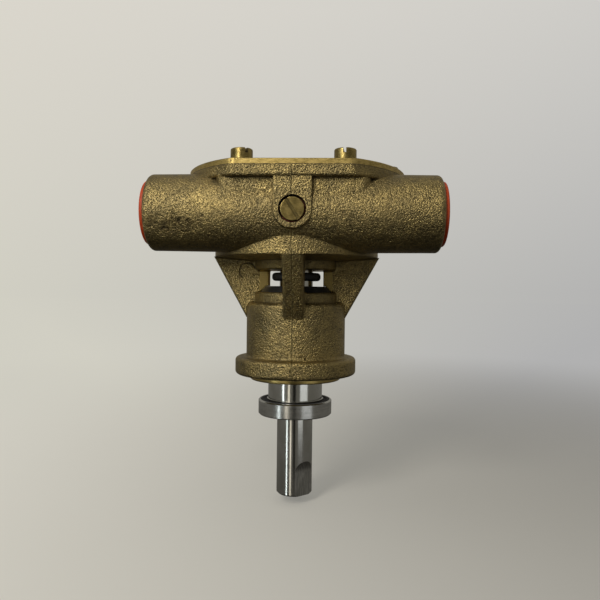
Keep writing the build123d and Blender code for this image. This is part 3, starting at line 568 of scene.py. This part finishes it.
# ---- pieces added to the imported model

def port_thread_tree():
    """Geometry nodes for the crests of a parallel pipe thread up +Z: a vee swept on a helix."""
    tree = bpy.data.node_groups.new("port_thread_crests", "GeometryNodeTree")
    face = tree.interface
    face.new_socket("Geometry", in_out="OUTPUT", socket_type="NodeSocketGeometry")
    for name in ("Bore radius", "Thread length", "Pitch", "Crest height"):
        face.new_socket(name, in_out="INPUT", socket_type="NodeSocketFloat")
    face.new_socket("Metal", in_out="INPUT", socket_type="NodeSocketMaterial")
    given = tree.nodes.new("NodeGroupInput")
    made = tree.nodes.new("NodeGroupOutput")

    def add(kind, settings, values):
        node = tree.nodes.new(kind)
        for name, value in settings.items():
            setattr(node, name, value)
        for socket, value in values.items():
            if isinstance(value, bpy.types.NodeSocket):
                tree.links.new(value, node.inputs[socket])
            else:
                node.inputs[socket].default_value = value
        return node

    def work(operation, first, second):
        return add("ShaderNodeMath", {"operation": operation}, {0: first, 1: second}).outputs[0]

    def corner(across, along):
        return add("ShaderNodeCombineXYZ", {}, {0: across, 1: along}).outputs[0]

    radius, length, pitch, height, chosen_metal = list(given.outputs)[:5]
    turns = work("DIVIDE", length, pitch)
    helix = add("GeometryNodeCurveSpiral", {}, {
        "Resolution": HELIX_STEPS,
        "Rotations": turns,
        "Start Radius": radius,
        "End Radius": radius,
        "Height": length,
    })
    half = work("MULTIPLY", pitch, THREAD_HALF_SHARE)
    crest = corner(work("MULTIPLY", height, -1.0), 0.0)
    root = corner(THREAD_SINK, half)
    foot = corner(THREAD_SINK, work("MULTIPLY", half, -1.0))
    vee = add("GeometryNodeCurvePrimitiveQuadrilateral", {"mode": "POINTS"}, {
        "Point 1": root,
        "Point 2": crest,
        "Point 3": crest,
        "Point 4": foot,
    })
    upright = add("GeometryNodeSetCurveNormal", {"mode": "Z_UP"}, {"Curve": helix.outputs["Curve"]})
    swept = add("GeometryNodeCurveToMesh", {}, {
        "Curve": upright.outputs["Curve"],
        "Profile Curve": vee.outputs["Curve"],
        "Fill Caps": True,
    })
    merged = add("GeometryNodeMergeByDistance", {}, {
        "Geometry": swept.outputs["Mesh"],
        "Distance": THREAD_MERGE,
    })
    real = add("GeometryNodeRealizeInstances", {}, {"Geometry": merged.outputs["Geometry"]})
    metal = add("GeometryNodeSetMaterial", {}, {
        "Geometry": real.outputs["Geometry"],
        "Material": chosen_metal,
    })
    tree.links.new(metal.outputs["Geometry"], made.inputs["Geometry"])
    return tree


def made_plain(name, tree, values):
    """The mesh that a geometry-nodes tree makes with these named inputs."""
    holder = bpy.data.objects.new(name, bpy.data.meshes.new(name))
    bpy.context.scene.collection.objects.link(holder)
    modifier = holder.modifiers.new("made", "NODES")
    modifier.node_group = tree
    for item in tree.interface.items_tree:
        if item.in_out == "INPUT":
            modifier[item.identifier] = values[item.name]
    bpy.context.view_layer.update()
    ready = holder.evaluated_get(bpy.context.evaluated_depsgraph_get())
    mesh = bpy.data.meshes.new_from_object(ready)
    mesh.name = name
    holder.modifiers.remove(modifier)
    holder.data = mesh
    return holder


def port_threads(metal):
    """The thread crests inside both ports."""
    tree = port_thread_tree()
    values = {
        "Bore radius": PORT_THREAD_R,
        "Thread length": PORT_THREAD_LENGTH,
        "Pitch": THREAD_PITCH,
        "Crest height": THREAD_HEIGHT,
        "Metal": metal,
    }
    for name, side in (("left_port_thread", -1), ("right_port_thread", 1)):
        piece = made_plain(name, tree, values)
        place = Matrix.Translation((side * PORT_THREAD_START, PORT_AXIS_Y, PORT_AXIS_Z))
        piece.data.transform(place @ Matrix.Rotation(side * math.pi / 2, 4, "Y"))
        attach(piece, "housing")


# ---- stage, lights and camera

FLOOR_TOP = -61.5 * MM
# Background colours, brighter to the left and towards the top: painted light falloff
PALE_LEFT = (0.635, 0.62, 0.545, 1)
PALE_RIGHT = (0.44, 0.44, 0.44, 1)
PALE_TOP_LEFT = (0.71, 0.68, 0.61, 1)
PALE_TOP_RIGHT = (0.61, 0.60, 0.575, 1)
PALE_TOP = 0.42
SIDE = 0.5
PAPER = (0.42, 0.41, 0.38, 1)
PAPER_MOTTLE = (0.36, 0.35, 0.33, 1)
BLACK = (0, 0, 0, 1)
# Painted light and painted shade glowing on the floor near the pump, left and right
PAINTED_LIGHT_LEFT = (0.40, 0.392, 0.355, 1)
PAINTED_SHADE_RIGHT = (0.015, 0.016, 0.02, 1)
DIM_BELOW = (0.03, 0.028, 0.024, 1)
DIM_ABOVE = (0.30, 0.29, 0.26, 1)
CARD_BLACK = (0.012, 0.011, 0.01, 1)
CARD_GREY = (0.02, 0.018, 0.016, 1)
FLOOR_R = 6.0
LIT_MIDDLE = Vector((0, 0, 30 * MM))
CAMERA_AZIMUTH = 2.8
CAMERA_TURN_BACK = 0.37
CAMERA_LOOK_DOWN = 0.95
CAMERA_ROLL = 0.65
CAMERA_DISTANCE = 0.288
CAMERA_HEIGHT = 39.8 * MM
CAMERA_SENSOR = 36.0
CAMERA_LENS = 36.0


def floor():
    """A wide pale floor that fades into the pale background. Its glow is painted light: bright on
    the left and painted shade on the right near the pump, graded the same way as the background
    further out.
    """
    bpy.ops.mesh.primitive_circle_add(
        vertices=96, radius=FLOOR_R, fill_type="NGON", location=(0, 0, FLOOR_TOP)
    )
    piece = bpy.context.object
    piece.name = "floor"
    constants = {"Roughness": 0.9, "Specular IOR Level": 0.0, "Emission Strength": 1.0}
    finish = Finish("pale_paper", constants)
    grain = finish.noise(35.0, 4.0, 0.6)
    across = finish.step(finish.x, -0.30, 0.30)
    far = finish.step(finish.from_z_axis(), 0.02, 0.75)
    paper = finish.colour(grain * 0.12, PAPER, PAPER_MOTTLE)
    finish.feed("Base Color", finish.colour(far, paper, BLACK))
    # Painted light and shade near the pump: the floor glows bright on the left and nearly black on
    # the right
    painted_light_near = finish.colour(across, PAINTED_LIGHT_LEFT, PAINTED_SHADE_RIGHT)
    # Further out the floor glows with the background's colours, brighter to the left: painted light
    # falloff
    painted_light_far = finish.colour(finish.x / finish.from_z_axis() + SIDE, PALE_LEFT, PALE_RIGHT)
    finish.feed("Emission Color", finish.colour(far, painted_light_near, painted_light_far))
    paint(piece, finish.material)
    piece.visible_glossy = False
    piece.visible_diffuse = False
    piece.visible_shadow = False


def backdrop():
    """The world: pale behind the object, dimmer where it only lights it, darkest from below."""
    world = bpy.data.worlds.new("pale_room")
    bpy.context.scene.world = world
    world.use_nodes = True
    tree = world.node_tree
    tree.nodes.clear()
    link = tree.links.new
    direction = tree.nodes.new("ShaderNodeTexCoord")
    split = tree.nodes.new("ShaderNodeSeparateXYZ")
    link(direction.outputs["Generated"], split.inputs[0])

    def ramp(output, low, high, first, second):
        """From the first colour to the second as one part of the direction grows."""
        spread = tree.nodes.new("ShaderNodeMapRange")
        spread.inputs["From Min"].default_value = low
        spread.inputs["From Max"].default_value = high
        link(split.outputs[output], spread.inputs["Value"])
        mix = tree.nodes.new("ShaderNodeMix")
        mix.data_type = "RGBA"
        link(spread.outputs[0], mix.inputs[MIX_SHARE])
        for socket, colour in ((MIX_FIRST, first), (MIX_SECOND, second)):
            if isinstance(colour, bpy.types.NodeSocket):
                link(colour, mix.inputs[socket])
            else:
                mix.inputs[socket].default_value = colour
        return mix.outputs[MIX_RESULT]

    seen = tree.nodes.new("ShaderNodeBackground")
    # What the camera sees: painted light falloff, brighter to the left and towards the top
    left = ramp("Z", 0.0, PALE_TOP, PALE_LEFT, PALE_TOP_LEFT)
    right = ramp("Z", 0.0, PALE_TOP, PALE_RIGHT, PALE_TOP_RIGHT)
    link(ramp("X", -SIDE, SIDE, left, right), seen.inputs["Color"])
    seen.inputs["Strength"].default_value = 1.0
    light = tree.nodes.new("ShaderNodeBackground")
    link(ramp("Z", -0.5, 0.3, DIM_BELOW, DIM_ABOVE), light.inputs["Color"])
    path = tree.nodes.new("ShaderNodeLightPath")
    both = tree.nodes.new("ShaderNodeMixShader")
    link(path.outputs["Is Camera Ray"], both.inputs[0])
    link(light.outputs[0], both.inputs[1])
    link(seen.outputs[0], both.inputs[2])
    output = tree.nodes.new("ShaderNodeOutputWorld")
    link(both.outputs[0], output.inputs["Surface"])


def softbox(name, azimuth, elevation, distance, size, power, colour):
    """A rectangular light facing the pump. Azimuth runs from the front, + to the right."""
    data = bpy.data.lights.new(name, "AREA")
    data.shape = "RECTANGLE"
    data.size, data.size_y = size
    data.energy = power
    data.color = colour
    lamp = bpy.data.objects.new(name, data)
    bpy.context.scene.collection.objects.link(lamp)
    turn, rise = math.radians(azimuth), math.radians(elevation)
    level = math.cos(rise)
    away = Vector((math.sin(turn) * level, -math.cos(turn) * level, math.sin(rise)))
    lamp.location = LIT_MIDDLE + distance * away
    lamp.rotation_euler = away.to_track_quat("Z", "Y").to_euler()


def lights():
    softbox("key_softbox", -27, 31, 0.9, (0.20, 0.62), 4.3, (1.0, 0.95, 0.86))
    softbox("key_strip", -23, -16, 0.9, (0.10, 0.40), 0.16, (1.0, 0.93, 0.80))
    softbox("window_strip", -48, -2, 0.9, (0.07, 0.9), 0.75, (0.86, 0.96, 1.0))
    softbox("low_fill", 40, -12, 0.9, (0.50, 0.14), 0.18, (0.92, 0.96, 1.0))
    softbox("top_fill", -60, 72, 1.0, (0.5, 0.5), 0.5, (1.0, 0.98, 0.94))


def dark_card():
    """A dark card behind the camera, there only to put a dark band in the polished steel."""
    bpy.ops.mesh.primitive_plane_add(size=1.0, location=(-0.005, -0.95, 0.05))
    piece = bpy.context.object
    piece.name = "dark_card"
    piece.data.transform(Matrix.Diagonal((0.22, 0.8, 1.0, 1.0)))
    piece.rotation_euler = (math.pi / 2, 0, 0)
    finish = Finish("dark_card", {"Roughness": 1.0, "Specular IOR Level": 0.0})
    finish.feed("Base Color", finish.colour(finish.noise(20.0), CARD_BLACK, CARD_GREY))
    paint(piece, finish.material)
    piece.visible_camera = False
    piece.visible_diffuse = False
    piece.visible_shadow = False


def camera():
    """A nearly level camera in front of the pump, a little to the right of the cam screw."""
    data = bpy.data.cameras.new("camera")
    data.sensor_width = CAMERA_SENSOR
    data.lens = CAMERA_LENS
    data.clip_start = 0.01
    piece = bpy.data.objects.new("camera", data)
    bpy.context.scene.collection.objects.link(piece)
    around = math.radians(CAMERA_AZIMUTH)
    across = CAMERA_DISTANCE * math.sin(around)
    back = -CAMERA_DISTANCE * math.cos(around)
    piece.location = (across, back, CAMERA_HEIGHT)
    yaw = Matrix.Rotation(around - math.radians(CAMERA_TURN_BACK), 4, "Z")
    pitch = Matrix.Rotation(math.radians(90 - CAMERA_LOOK_DOWN), 4, "X")
    roll = Matrix.Rotation(math.radians(CAMERA_ROLL), 4, "Z")
    piece.rotation_euler = (yaw @ pitch @ roll).to_euler()
    bpy.context.scene.camera = piece
    bpy.context.scene.view_settings.view_transform = "Standard"


finishes = dress_nodes()
port_threads(finishes["machined_bronze"])
floor()
backdrop()
lights()
dark_card()
camera()
